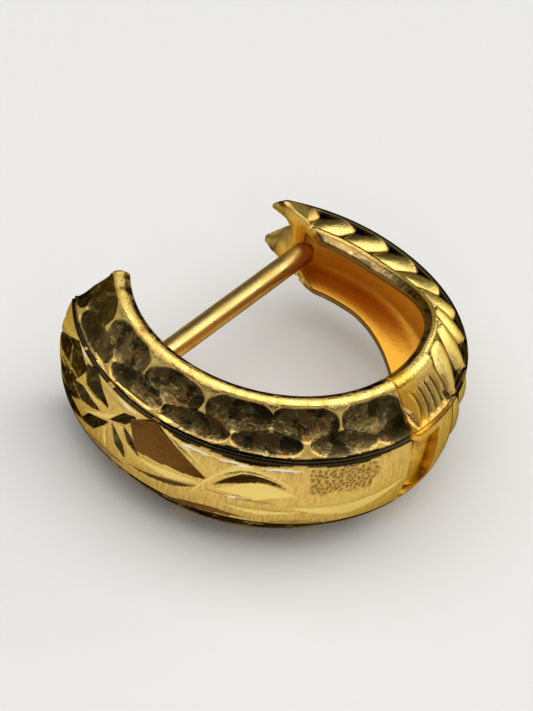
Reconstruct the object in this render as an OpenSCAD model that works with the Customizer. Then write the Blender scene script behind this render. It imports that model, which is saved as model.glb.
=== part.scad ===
// Huggie earring, lying on its side.
// X to the right, Y away from the viewer, Z up along the hoop's axis, millimetres.
// Angles around the hoop start at +X and grow towards the viewer, so 90 is the near point.

/* [Hoop] */
// Outside diameter over the middle strip
hoop_d = 14; // [13:0.25:16]
// Width of the front half from rim to rim
band_w = 5.9; // [5.4:0.1:6.6]
// Width of the back half at its catch
back_w = 2.66; // [2.5:0.02:3.2]
// Radial height of the band from rim to middle strip
band_h = 1.95; // [1.8:0.05:2.1]

/* [Engraving] */
// Width of the middle strip on the front half
strip_w = 2.9; // [2.6:0.1:3.2]
// Depth of the black line on each side of the strip
line_d = 0.22; // [0.1:0.02:0.26]
// Depth of the scooped cuts on the bevels
scoop_d = 0.13; // [0.06:0.01:0.18]
// Depth of the leaf and star cuts
leaf_d = 0.16; // [0.08:0.01:0.2]

/* [Hinge] */
// Diameter of the hinge pin
pin_d = 0.5; // [0.4:0.05:0.6]
// Outside diameter of the knuckle
knuckle_d = 1.2; // [1.1:0.05:1.3]
// Length of the knuckle
knuckle_l = 2.2; // [1.8:0.1:2.4]
// Running clearance of the pin, on the radius
pin_gap = 0.02; // [0.015:0.005:0.04]

/* [Ear post] */
// Diameter of the post
post_d = 0.8; // [0.7:0.05:0.9]

/* [Hidden] */
$fn = 48;

// Angles around the hoop where the halves begin and end.
tip_at = 171;
cut_at = 37;
pin_at = 30;
taper_from = 8;
taper_to = -60;
catch_at = -89.5;

// Section of the band, radius and height over its middle.
r_out = hoop_d / 2;
dome = 0.2;
r_edge = r_out - dome;
r_line = r_edge - line_d;
line_half = 0.1;
bevel_drop = 0.06;
r_bevel = r_edge - bevel_drop;
strip_half = strip_w / 2;
half_w = band_w / 2;
catch_side = 0.22;
back_strip = back_w / 2 - catch_side;
rim_flat = 0.5;
r_in = r_out - band_h;
r_rim = r_in + rim_flat;
bevel_top = strip_half + line_half;
line_floor = 0.26;
r_floor = r_line - line_floor;
wall_top = r_in + 0.05;

// Channel inside the band: height of its lips, and the least thickness of its sides.
lip = 0.36;
side_wall = 0.28;
lip_step = 0.06;

// Hinge, at the middle of the arc and close under the outside.
pin_depth = 0.75;
r_pin = r_out - pin_depth;
pin_r = pin_d / 2;
bore_r = pin_r + pin_gap;
knuckle_r = knuckle_d / 2;
cut_gap = 0.06;
to_cut = r_pin * sin(cut_at - pin_at);
round_r = to_cut - cut_gap;
slot_gap = 0.05;
slot_back = knuckle_r + slot_gap;
slot_l = knuckle_l + 2 * slot_gap;
slot_reach = 2;
pin_l = 3.3;
pin_hole_l = pin_l + 2 * slot_gap;
web_half = 0.42;
web_l = knuckle_l - 0.12;
web_from = 0.41;
web_bite = 0.3;
web_reach = to_cut + web_bite;
end_wall = 0.5;

// Post, a straight wire across the hoop from the front half to the catch.
post_r = post_d / 2;
post_turn = 61.2;
post_off = 2.216;
post_root = -6.15;
post_neck = 5.15;
post_point = 0.42;
point_r = 0.12;

function rise(t) = let (c = min(1, max(0, t))) c * c * (3 - 2 * c);
function spot(r, angle, z) = [r * cos(angle), -r * sin(angle), z + half_w];
function mm_per_deg(r) = r * PI / 180;

// Shares of the full widths of the band and of its strip that are left at an angle.
function width_at(a) =
    let (done = rise((taper_from - a) / (taper_from - taper_to)))
    [1 - (1 - back_w / band_w) * done, 1 - (1 - back_strip / strip_half) * done];

// Graver's cuts on the middle strip, one row each: the angle and height where a cut starts
// and ends, half its width, where it is widest, and how far it bows upwards.
ANGLE_A = 0;
HIGH_A = 1;
ANGLE_B = 2;
HIGH_B = 3;
HALF = 4;
WIDEST = 5;
BOW = 6;
STRIP_CUTS = [
    [171, -0.4, 144.8, 0.95, 0.6, 0.6, 0],
    [167, -1.2, 143, -0.2, 0.42, 0.5, 0],
    [143.8, 1.1, 131.5, 0.55, 0.28, 0.3, 0],
    [140.5, -0.95, 130.8, 0, 0.2, 0.5, 0],
    [130, 0.2, 122.3, 1, 0.17, 0.6, 0],
    [122, 1, 97.5, 0.02, 0.6, 0.25, 0],
    [119.5, -1.05, 99, -0.12, 0.14, 0.5, 0],
    [94.5, 0.1, 77.2, 0.45, 0.14, 0.5, 0.6],
    [93.5, 0, 72.5, 0.15, 0.3, 0.5, 0.2],
    [72, -0.5, 38.5, 0, 0.35, 0.5, -0.25],
    [139, -1.25, 124, -1, 0.2, 0.5, 0],
    [100, -1.2, 66, -1.2, 0.22, 0.5, 0.25],
    [66, -1.15, 40, -1.1, 0.22, 0.5, 0]
];
cut_fullness = 0.7;

// Depth of one cut at a place on the strip: a leaf with pointed ends and straight sides.
function cut_depth(a, z, row) =
    let (
        x = (a - row[ANGLE_A]) * mm_per_deg(r_out),
        y = z - row[HIGH_A],
        dx = (row[ANGLE_B] - row[ANGLE_A]) * mm_per_deg(r_out),
        dy = row[HIGH_B] - row[HIGH_A],
        len = norm([dx, dy]),
        along = min(1, max(0, (x * dx + y * dy) / len / len)),
        off = (x * dy - y * dx) / len - row[BOW] * 4 * along * (1 - along),
        ends = min(along / row[WIDEST], (1 - along) / (1 - row[WIDEST])),
        half = row[HALF] * pow(max(0, ends), cut_fullness)
    )
    half > abs(off) ? leaf_d * (1 - abs(off) / half) : 0;

// Two staggered rows of oval scoops around each bevel of the front half.
scoop_pitch = 22.2;
scoop_first = 160.3;
scoop_long = 0.52;
scoop_high = 0.25;
OUTER_ROW = 0.31;
INNER_ROW = 0.73;
function scoop_depth(a, t, row_t, shift) =
    let (
        n = round((scoop_first - a) / scoop_pitch - shift),
        da = (a - scoop_first + (n + shift) * scoop_pitch) / (scoop_pitch * scoop_long),
        dt = (t - row_t) / scoop_high
    )
    scoop_d * (1 - da * da - dt * dt);

// Slanted leaf cuts around the back half, counted from the first whole one.
leaf_pitch = 12.5;
leaf_first = 9.2;
leaf_slant = 5;
leaf_share = 0.44;
catch_fade = 8;
function leaf_depth(a, t) =
    let (
        lean = a - leaf_slant * (t - 0.5),
        n = round((lean - leaf_first) / leaf_pitch),
        da = abs(lean - leaf_first - n * leaf_pitch) / (leaf_pitch * leaf_share),
        half = pow(sin(180 * min(1, max(0, t))), cut_fullness)
    )
    a > leaf_first + leaf_pitch / 2 ? 0
    : half > da ? leaf_d * (half - da) * rise((a - catch_at) / catch_fade) : 0;

// Depth on the strip, where share runs from -1 at its lower edge to 1 at its upper one.
function strip_depth(a, share) =
    a >= cut_at ? max([for (row = STRIP_CUTS) cut_depth(a, share * strip_half, row)])
    : leaf_depth(a, (share + 1) / 2);

// Depth on a bevel, where t runs from 0 at the rim to 1 at the black line.
function bevel_depth(a, t) =
    a >= cut_at
        ? max(0, scoop_depth(a, t, OUTER_ROW, 0), scoop_depth(a, t, INNER_ROW, 0.5))
        : leaf_depth(a, t);

// Where the half section has points: shares of the bevel and of the strip's half width.
BEVEL_STEPS = [0, 0.1, 0.2, 0.31, 0.42, 0.52, 0.62, 0.73, 0.84, 0.94, 1];
STRIP_STEPS = [0.97, 0.8, 0.64, 0.48, 0.32, 0.16];

// A cut that reaches the rim moves its edge inwards and leaves the rim flat.
function bevel_spot(a, t, w) =
    let (
        z_rim = half_w * w[0],
        slope = [r_bevel - r_rim, bevel_top * w[1] - z_rim],
        out = [-slope[1], slope[0]] / norm(slope),
        d = bevel_depth(a, t)
    )
    [r_rim + slope[0] * t - out[0] * d, z_rim + slope[1] * t - (t > 0 ? out[1] * d : 0)];

function strip_spot(a, share, w, side) =
    [r_edge + dome * (1 - share * share) - strip_depth(a, share * side), share * strip_half * w[1]];

// One side of the outside, from the rim to just short of the middle.
function outside_half(a, w, side) = [
    for (t = BEVEL_STEPS) bevel_spot(a, t, w),
    [r_line, strip_half * w[1]],
    for (share = STRIP_STEPS) strip_spot(a, share, w, side)
];

function flip(list) = [for (k = [len(list) - 1 : -1 : 0]) [list[k][0], -list[k][1]]];

// Closed section: outside from the upper rim to the lower one, then the channel back up.
function ring(a, w, r_high, r_deep) =
    let (
        top = outside_half(a, w, 1),
        bottom = outside_half(a, w, -1),
        outside = concat(top, [strip_spot(a, 0, w, 1)], flip(bottom)),
        z_rim = half_w * w[0],
        z_lip = z_rim - lip,
        z_deep = min(strip_half * w[1] - side_wall, z_lip - lip_step),
        channel = [
            [r_in, -z_rim],
            [r_in, -z_lip],
            [r_deep, -z_deep],
            [r_deep, z_deep],
            [r_in, z_lip],
            [r_in, z_rim]
        ]
    )
    concat([for (p = outside) [min(r_high, p[0]), p[1]]], channel);

SIDE = len(BEVEL_STEPS) + 1 + len(STRIP_STEPS);
OUTSIDE = 2 * SIDE + 1;
CHANNEL = 6;
LOOP = OUTSIDE + CHANNEL;

// Which corner of the channel each outside point faces, for the end caps.
rim_end = 2;
bevel_end = 7;
function partner(k) =
    k > SIDE ? OUTSIDE + CHANNEL - 1 - (partner(2 * SIDE - k) - OUTSIDE)
    : k < rim_end ? OUTSIDE + 5
    : k < bevel_end ? OUTSIDE + 4
    : OUTSIDE + 3;

function cap(base, turn) = [
    for (k = [0 : OUTSIDE - 2])
        let (f = [base + k, base + k + 1, base + partner(k)]) turn ? [f[2], f[1], f[0]] : f,
    for (k = [0 : OUTSIDE - 2])
        if (partner(k) != partner(k + 1))
            let (f = [base + k + 1, base + partner(k + 1), base + partner(k)])
            turn ? [f[2], f[1], f[0]] : f
];

module band(rings) {
    count = len(rings);
    points = [for (one = rings) each one];
    sides = [
        for (i = [0 : count - 2], k = [0 : LOOP - 1])
            let (
                p = i * LOOP + k,
                q = i * LOOP + (k + 1) % LOOP,
                faces = [[p, q, p + LOOP], [q, q + LOOP, p + LOOP]]
            )
            each faces
    ];
    polyhedron(points, concat(sides, cap(0, true), cap((count - 1) * LOOP, false)), convexity = 8);
}

// Front half: the channel is closed by a wall at the tip and one at the hinge.
wall_deg = end_wall / mm_per_deg(r_rim);
wall_ramp = 0.4;
tip_round_deg = [2, 0.7, 0];
tip_round_in = [0, 0.04, 0.16];
front_steps = 80;
open_from = cut_at + wall_deg + wall_ramp;
open_to = tip_at - wall_deg - wall_ramp;
FRONT_ANGLES = [
    cut_at,
    cut_at + wall_deg,
    for (k = [0 : front_steps]) open_from + (open_to - open_from) * k / front_steps,
    open_to + wall_ramp,
    for (d = tip_round_deg) tip_at - d
];

function front_deep(a) = a >= open_from && a <= open_to ? r_floor : wall_top;

// How far the section is drawn in towards its middle where the tip is rounded off.
r_mid = (r_out + r_in) / 2;
function tip_in(a) = lookup(tip_at - a, [for (k = [2 : -1 : 0]) [tip_round_deg[k], tip_round_in[k]]]);
function drawn_in(p, a) = [p[0] + (r_mid - p[0]) * tip_in(a), p[1] * (1 - tip_in(a))];

module front_shell() {
    band([
        for (a = FRONT_ANGLES)
            [for (p = ring(a, [1, 1], r_out, front_deep(a))) let (q = drawn_in(p, a)) spot(q[0], a, q[1])]
    ]);
}

module on_pin(length) {
    translate(spot(r_pin, pin_at, -length / 2))
        children();
}

// The wire that the lobe rides on, and its point.
module post() {
    rotate([0, 0, post_turn])
        translate([0, post_off, half_w])
            rotate([0, 90, 0]) {
                translate([0, 0, post_root])
                    cylinder(r = post_r, h = post_neck - post_root);
                translate([0, 0, post_neck])
                    cylinder(r1 = post_r, r2 = point_r, h = post_point);
            }
}

module front_half() {
    color("gold")
        difference() {
            union() {
                front_shell();
                post();
                on_pin(knuckle_l)
                    cylinder(r = knuckle_r, h = knuckle_l);
                on_pin(web_l)
                    rotate([0, 0, -pin_at])
                        translate([-web_half, -web_reach, 0])
                            cube([2 * web_half, web_reach - web_from, web_l]);
            }
            on_pin(knuckle_l + 1)
                cylinder(r = bore_r, h = knuckle_l + 1);
        }
}

// Back half: rounded about the pin where it starts, narrowing to a slanted catch.
catch_lean = -12.6;
lean_from = -58;
lean_base = 6;
tip_reach = 0.66;
notch_span = 14;
notch_turn = 7;
notch_share = 0.5;
notch_from = 6.05;
notch_height = 0.6;
tip_share = 0.66;
tip_round = 4;
catch_lip = 5.98;
catch_wall_deg = 3.6;
fill_to = 20;

// Shares of the start's radius, then degrees past the pin, where the first sections stand.
ROUND_STEPS = [0.97, 0.85, 0.65, 0.4, 0.1];
EASE_STEPS = [2, 4.5, 7];
ease_deg = 4;
back_from = pin_at - EASE_STEPS[2];
back_steps = 62;
BACK_ANGLES = [
    for (s = ROUND_STEPS) pin_at + s * round_r / mm_per_deg(r_pin),
    for (d = EASE_STEPS) pin_at - d,
    for (k = [1 : back_steps]) back_from + (catch_at - back_from) * k / back_steps
];

// The outside of the start is rounded about the pin, so that it clears the front half.
function back_high(a) =
    let (x = (a - pin_at) * mm_per_deg(r_pin))
    x > 0 ? r_pin + sqrt(round_r * round_r - x * x)
    : r_pin + round_r + (r_out - r_pin - round_r) * rise((pin_at - a) / ease_deg);

function back_deep(a) =
    a > fill_to ? wall_top
    : a < catch_at + catch_wall_deg ? catch_lip
    : r_floor;

// Angle of a point once the catch leans and its two tips stand out from the notch.
function back_turn(a, p, w) =
    let (
        lean = rise((lean_from - a) / (lean_from - catch_at)),
        last = rise((catch_at + notch_span - a) / notch_span),
        share = min(1, abs(p[1]) / (half_w * w[0])),
        notch = max(0, 1 - share / notch_share) * notch_turn
            + max(0, share - tip_share) / (1 - tip_share) * tip_round,
        height = rise((p[0] - notch_from) / notch_height)
    )
    a + lean * catch_lean * min(tip_reach, p[0] - lean_base) + last * notch * height;

module back_shell() {
    band([
        for (k = [len(BACK_ANGLES) - 1 : -1 : 0])
            let (a = BACK_ANGLES[k], w = width_at(a))
            [
                for (p = ring(a, w, back_high(a), back_deep(a)))
                    spot(p[0], back_turn(a, p, w), p[1])
            ]
    ]);
}

module back_half() {
    color("goldenrod")
        difference() {
            back_shell();
            on_pin(slot_l)
                rotate([0, 0, -pin_at])
                    translate([-slot_reach, -slot_reach, 0])
                        cube([2 * slot_reach, slot_reach + slot_back, slot_l]);
            on_pin(pin_hole_l)
                cylinder(r = bore_r, h = pin_hole_l);
        }
}

module hinge_pin() {
    color("khaki")
        on_pin(pin_l)
            cylinder(r = pin_r, h = pin_l);
}

front_half();
back_half();
hinge_pin();
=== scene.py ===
# %% [markdown]
# Huggie earring, lying on its side.
# The real thing is a hoop of yellow gold in two halves with a hinge between them. A jeweller bends
# the channel from sheet, solders a post across it, and cuts the outside with a graver. This lesson
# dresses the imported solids: each half gets a fine mesh of the same form, and the cuts are sunk into
# it by Geometry Nodes. Everything is in metres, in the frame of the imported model.

# %% Load the frame
import math

import bmesh
import bpy
import numpy as np
from mathutils import Matrix, Vector


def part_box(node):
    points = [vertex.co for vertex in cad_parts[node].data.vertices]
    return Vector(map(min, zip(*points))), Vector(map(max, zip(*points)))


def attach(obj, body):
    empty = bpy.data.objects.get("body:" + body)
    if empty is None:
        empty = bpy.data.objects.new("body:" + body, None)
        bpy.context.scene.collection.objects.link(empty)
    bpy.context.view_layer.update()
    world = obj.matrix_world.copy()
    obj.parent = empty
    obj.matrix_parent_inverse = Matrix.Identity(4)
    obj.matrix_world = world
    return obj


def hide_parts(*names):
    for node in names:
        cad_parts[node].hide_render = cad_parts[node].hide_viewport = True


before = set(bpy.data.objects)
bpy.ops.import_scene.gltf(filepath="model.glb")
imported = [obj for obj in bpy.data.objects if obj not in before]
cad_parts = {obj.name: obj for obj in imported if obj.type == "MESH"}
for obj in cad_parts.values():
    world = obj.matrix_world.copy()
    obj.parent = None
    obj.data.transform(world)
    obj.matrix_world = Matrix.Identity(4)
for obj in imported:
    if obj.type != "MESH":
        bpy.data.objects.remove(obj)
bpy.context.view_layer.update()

# %% [markdown]
# Sizes. A hoop is easiest to describe in its own terms: an angle around it, a radius and a height
# over its middle plane. Angles start at +X and grow towards the viewer, so 90 degrees is the near
# point, and a name that starts with R_ is a radius. The hoop's sizes are in millimetres and become
# metres only when a mesh is made, while the camera and the lights are placed in metres.

# %% Sizes of the band
MM = 0.001
front_low, front_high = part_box("front_half")
R_OUT = -front_low.y / MM
HALF_W = (front_high.z - front_low.z) / 2 / MM
BAND_THICK = 1.95
RIM_FLAT = 0.5
DOME = 0.2
LINE_DEEP = 0.22
LINE_WIDE = 0.1
BEVEL_DROP = 0.06
FLOOR_METAL = 0.26
STRIP_HALF = 1.45
BACK_HALF_W = 1.33
BACK_SHOULDER = 0.22

BACK_STRIP_HALF = BACK_HALF_W - BACK_SHOULDER
R_EDGE = R_OUT - DOME
R_LINE = R_EDGE - LINE_DEEP
R_BEVEL = R_EDGE - BEVEL_DROP
R_IN = R_OUT - BAND_THICK
R_RIM = R_IN + RIM_FLAT
R_FLOOR = R_LINE - FLOOR_METAL
R_MID = (R_OUT + R_IN) / 2
BEVEL_TOP = STRIP_HALF + LINE_WIDE
BEVEL_LENGTH = math.hypot(R_BEVEL - R_RIM, HALF_W - BEVEL_TOP)
MM_PER_DEG = math.radians(R_OUT)
print("hoop radius", round(R_OUT, 3), "half width", round(HALF_W, 3), "bevel", round(BEVEL_LENGTH, 3))

# %% Angles of the ends and the hinge
TIP_AT = 171.0
CUT_AT = 37.0
PIN_AT = 30.0
CATCH_AT = -89.5
TAPER_FROM = 8.0
TAPER_TO = -60.0
PIN_DEEP = 0.75
ROUND_GAP = 0.06
R_PIN = R_OUT - PIN_DEEP
ROUND_R = R_PIN * math.sin(math.radians(CUT_AT - PIN_AT)) - ROUND_GAP
print("front half", TIP_AT - CUT_AT, "degrees long, back half", CUT_AT - CATCH_AT)

# %% [markdown]
# Camera. The photo looks down on the hoop at 42 degrees, from far away through a long lens, and the
# hoop is turned 13.5 degrees clockwise in the picture. The camera is made first, so that every test
# render shows the piece as the photo does. Blender's lens is stated for the long side of the frame,
# which is the height here.

# %% Camera
FRAME_W, FRAME_H = 533, 711
VIEW_ELEVATION = math.radians(42.0)
VIEW_ROLL = math.radians(13.5)
VIEW_DISTANCE = 0.125
VIEW_WIDTH = 0.0182
SENSOR = 0.036
AIM = Vector((0.0001, 0.0, 0.0028))


def placed(name, data):
    """Puts a mesh, a light or a camera into the scene, at the origin."""
    made = bpy.data.objects.new(name, data)
    bpy.context.scene.collection.objects.link(made)
    return made


camera_data = bpy.data.cameras.new("camera")
camera_data.sensor_width = SENSOR / MM
camera_data.lens = SENSOR / MM * VIEW_DISTANCE / (VIEW_WIDTH * FRAME_H / FRAME_W)
camera_data.clip_start = 0.005
camera_data.clip_end = 10.0
camera = placed("camera", camera_data)
toward_eye = Vector((0.0, -math.cos(VIEW_ELEVATION), math.sin(VIEW_ELEVATION)))
level_up = Vector((0.0, math.sin(VIEW_ELEVATION), math.cos(VIEW_ELEVATION)))
picture_up = level_up * math.cos(VIEW_ROLL) - Vector((1, 0, 0)) * math.sin(VIEW_ROLL)
picture_right = picture_up.cross(toward_eye)
turn = Matrix((picture_right, picture_up, toward_eye)).transposed()
camera.matrix_world = Matrix.Translation(AIM + toward_eye * VIEW_DISTANCE) @ turn.to_4x4()
bpy.context.scene.camera = camera
print("lens", round(camera_data.lens, 1), "mm at", VIEW_DISTANCE, "m")

# %% [markdown]
# Light. Polished gold shows its surroundings more than itself, so each light is placed by what the
# metal should mirror. One wide soft light hangs overhead, and the rims and the crowns of the cuts
# turn pale in it. A smaller one stands behind on the right and draws the far edges. A fill in front
# lights the gold but is hidden from its reflections, because its mirror image would turn the dark
# cuts white. The rest stays dark. The Standard transform keeps the deep yellow, which a softer film
# curve would wash out.

# %% Soft lights in a dark room
HOOP_MIDDLE = (0.0, 0.0, 0.003)
DARK_ROOM = (0.065, 0.065, 0.067, 1)


def soft_light(name, place, size, watts, target=HOOP_MIDDLE, mirrored=True):
    data = bpy.data.lights.new(name, "AREA")
    data.shape = "RECTANGLE"
    data.size, data.size_y = size
    data.energy = watts
    light = placed(name, data)
    light.location = place
    direction = Vector(target) - Vector(place)
    light.rotation_euler = direction.to_track_quat("-Z", "Y").to_euler()
    light.visible_glossy = mirrored
    print(name, watts, "W at", place)


soft_light("light_above", (0.0, 0.05, 0.42), size=(1.1, 0.56), watts=3.7, target=(0.0, 0.05, 0.0))
soft_light("light_right", (0.36, 0.34, 0.19), size=(0.3, 0.3), watts=0.66)
soft_light("fill_front", (0.0, -0.34, 0.34), size=(0.6, 0.4), watts=1.05, mirrored=False)
bpy.context.scene.view_settings.view_transform = "Standard"

world = bpy.data.worlds.new("dark_room")
world.use_nodes = True
world.node_tree.nodes["Background"].inputs["Color"].default_value = DARK_ROOM
bpy.context.scene.world = world

# %% [markdown]
# Formulas. Shaders and Geometry Nodes both work on fields, which are numbers that differ from point
# to point, and both do their sums with Math nodes. Wiring a formula by hand is slow to read, so this
# small class lets Python write it: adding two fields makes an Add node, and so on. The tree that
# comes out is the same as one wired by hand.

# %% A formula that builds Math nodes
class Field:
    """One output of a node, which Python can do sums with."""

    def __init__(self, tree, socket):
        self.tree = tree
        self.socket = socket

    def into(self, socket):
        self.tree.links.new(self.socket, socket)

    def math(self, operation, *others):
        made = self.tree.nodes.new("ShaderNodeMath")
        made.operation = operation
        for socket, value in zip(made.inputs, (self, *others)):
            if isinstance(value, Field):
                value.into(socket)
            else:
                socket.default_value = value
        return Field(self.tree, made.outputs[0])

    def __add__(self, other):
        return self.math("ADD", other)

    def __sub__(self, other):
        return self.math("SUBTRACT", other)

    def __mul__(self, other):
        return self.math("MULTIPLY", other)

    def __truediv__(self, other):
        return self.math("DIVIDE", other)

    def __rsub__(self, other):
        return self.math("MULTIPLY", -1.0).math("ADD", other)

    def less_of(self, other):
        return self.math("MINIMUM", other)

    def more_of(self, other):
        return self.math("MAXIMUM", other)

    def within(self, low, high):
        return self.more_of(low).less_of(high)

    def clamped(self):
        return self.within(0.0, 1.0)

    def towards(self, other, share):
        """This field where share is 0, and the other one where it is 1."""
        return self + (other - self) * share


# %% Helpers for shader trees
def new_material(name):
    """A new material, its tree and its shader."""
    made = bpy.data.materials.new(name)
    made.use_nodes = True
    return made, made.node_tree, made.node_tree.nodes["Principled BSDF"]


def node(tree, kind, **inputs):
    made = tree.nodes.new(kind)
    for name, value in inputs.items():
        made.inputs[name.replace("_", " ")].default_value = value
    return made


def grain(tree, scale, detail=4.0, roughness=0.6):
    """Noise that stays put on the piece, because it reads object coordinates."""
    made = node(tree, "ShaderNodeTexNoise", Scale=scale, Detail=detail, Roughness=roughness)
    place = tree.nodes.new("ShaderNodeTexCoord")
    tree.links.new(place.outputs["Object"], made.inputs["Vector"])
    return Field(tree, made.outputs["Fac"])


def bumped(height, strength, distance):
    made = node(height.tree, "ShaderNodeBump", Strength=strength, Distance=distance)
    height.into(made.inputs["Height"])
    return Field(height.tree, made.outputs["Normal"])


def ramp(read, stops):
    """Looks a number up in a table of (number, result); a result is a colour or a number."""
    made = read.tree.nodes.new("ShaderNodeValToRGB")
    read.into(made.inputs["Fac"])
    elements = made.color_ramp.elements
    for place, result in stops[2:]:
        elements.new(place)
    for element, (place, result) in zip(elements, stops):
        element.position = place
        element.color = (*result, 1) if isinstance(result, tuple) else (result, result, result, 1)
    return Field(read.tree, made.outputs["Color"])


# %% [markdown]
# Floor. A plain pale disc with a soft fine grain, so that the shadow under the hoop has something to
# fall on. It is stage, not part of the earring.

# %% A pale floor
FLOOR_RADIUS = 0.6
FLOOR_SIDES = 96
FLOOR_COLOUR = (0.64, 0.635, 0.615, 1)
FLOOR_GRAIN = 900


def floor_material():
    made, tree, shader = new_material("pale_floor")
    shader.inputs["Base Color"].default_value = FLOOR_COLOUR
    shader.inputs["Roughness"].default_value = 0.62
    fine = grain(tree, FLOOR_GRAIN, detail=2.0, roughness=0.5)
    bumped(fine, strength=0.12, distance=0.0002).into(shader.inputs["Normal"])
    return made


floor_mesh = bpy.data.meshes.new("floor")
floor_shape = bmesh.new()
bmesh.ops.create_circle(floor_shape, cap_ends=True, radius=FLOOR_RADIUS, segments=FLOOR_SIDES)
floor_shape.to_mesh(floor_mesh)
floor_shape.free()
floor = placed("floor", floor_mesh)
floor.data.materials.append(floor_material())
print("floor", FLOOR_RADIUS * 2, "m across")

# %% [markdown]
# Gold. One material serves the whole outside, because it is one metal: what differs is how each spot
# was worked, and the light and shade painted on it. The mesh carries that as an attribute called
# tone, which the cutting steps below write. Minus one is a bright flat cut, polished and painted a
# little paler as a highlight, and below it lies a painted glint on a polished edge. Zero is the satin
# metal left standing between cuts, a half is painted brown shade on a cut that looks at a dim room,
# and near one it is a mirror cut painted almost black as the reflection of the dim room, with
# painted spots of olive and red in it. Reading an attribute ties the pattern to the surface, so it
# stays put in every view and every pose.

# %% Tones and colours of worked gold, and of the light and shade painted on it
GLINT, BRIGHT, BROWN, BLACK = -1.2, -1.0, 0.5, 1.0
# The pale glint is a painted highlight. The bright gold is a polished cut, painted a little paler as a
# highlight.
PALE_GLINT = (1.0, 0.88, 0.66)
BRIGHT_GOLD = (1.0, 0.73, 0.21)
SATIN_GOLD = (0.95, 0.64, 0.17)
STREAK_WEAR_AND_SHADE_GOLD = (0.56, 0.34, 0.08)
# The brown, dark and black colours below, and the olive and red spots, are painted shade and painted
# reflections of the dim room, not the metal's own colour.
BROWN_SHADE_GOLD = (0.21, 0.092, 0.02)
DIM_REFLECTION_GOLD = (0.4, 0.26, 0.09)
BLACK_REFLECTION = (0.05, 0.038, 0.015)
OLIVE_REFLECTION = (0.62, 0.56, 0.22)
RED_REFLECTION = (0.46, 0.22, 0.07)
AMBER_REFLECTION_GOLD = (0.92, 0.47, 0.05)
EDGE_GOLD = (0.24, 0.21, 0.13, 1)

# Share is the tone brought to a scale from 0, bright, to 1, black.
COLOUR_BY_SHARE = [
    (0.0, BRIGHT_GOLD), (0.5, SATIN_GOLD), (0.75, BROWN_SHADE_GOLD),
    (0.88, DIM_REFLECTION_GOLD), (0.96, DIM_REFLECTION_GOLD), (0.99, BLACK_REFLECTION),
]
ROUGHNESS_BY_SHARE = [(0.0, 0.2), (0.1, 0.3), (0.2, 0.5), (0.5, 0.34), (0.75, 0.3), (0.9, 0.12)]
MOTTLED_BY_SHARE = [(0.84, 0.0), (0.9, 0.85), (0.96, 0.85), (0.985, 0.3), (0.995, 0.0)]
STREAKED_BY_SHARE = [(0.1, 0.0), (0.35, 1.0), (0.6, 1.0), (0.7, 0.0)]
WEAR_AND_SHADE_BY_STREAK = [(0.4, 0.0), (0.66, 0.75)]
# Noise scale of the painted reflection spots, the noise where they start, where they are full, and
# their colour.
REFLECTION_SPOTS = [
    (3900, 0.5, 0.66, OLIVE_REFLECTION), (3100, 0.54, 0.66, RED_REFLECTION), (1500, 0.49, 0.57, BLACK_REFLECTION),
]
print("spots on the dark cuts:", len(REFLECTION_SPOTS), "colours")

# %% Laying one colour over another
def painted(under, share, colour):
    """The colour field under, with a constant colour over it as far as share says."""
    made = under.tree.nodes.new("ShaderNodeMix")
    made.data_type = "RGBA"
    share.into(made.inputs["Factor"])
    lower, upper = [socket for socket in made.inputs if socket.type == "RGBA"]
    under.into(lower)
    upper.default_value = (*colour, 1)
    return Field(under.tree, [socket for socket in made.outputs if socket.type == "RGBA"][0])


def share_of(read, start, full):
    """0 where the field is at start, 1 where it is at full."""
    made = node(read.tree, "ShaderNodeMapRange", From_Min=start, From_Max=full)
    read.into(made.inputs["Value"])
    return Field(read.tree, made.outputs["Result"])


def mesh_number(tree, label):
    """A number that the mesh carries at each point."""
    made = tree.nodes.new("ShaderNodeAttribute")
    made.attribute_name = label
    return Field(tree, made.outputs["Fac"])


# %% [markdown]
# Wear. A soft cloth and years of handling leave fine streaks that run across the band. Noise makes
# them if it changes quickly around the hoop and slowly across it. The streaks darken the satin metal
# in thin lines, partly as wear and partly as painted shade for the uneven reflections around it, and
# the same noise goes into the bump, so that shade and shape agree.

# %% Engraved gold, with painted light and shade
STREAK_AROUND = 0.122
STREAK_ACROSS = 0.2
STREAK_SCALE = 9.0
FINE_GRAIN = 8000


def streaks(tree):
    place = tree.nodes.new("ShaderNodeCombineXYZ")
    (mesh_number(tree, "around") * STREAK_AROUND).into(place.inputs["X"])
    (mesh_number(tree, "across") * STREAK_ACROSS).into(place.inputs["Y"])
    made = node(tree, "ShaderNodeTexNoise", Scale=STREAK_SCALE, Detail=5.0, Roughness=0.7)
    tree.links.new(place.outputs["Vector"], made.inputs["Vector"])
    return Field(tree, made.outputs["Fac"])


def new_gold(name):
    made, tree, shader = new_material(name)
    shader.inputs["Metallic"].default_value = 1.0
    shader.inputs["Specular Tint"].default_value = EDGE_GOLD
    return made, tree, shader


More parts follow.
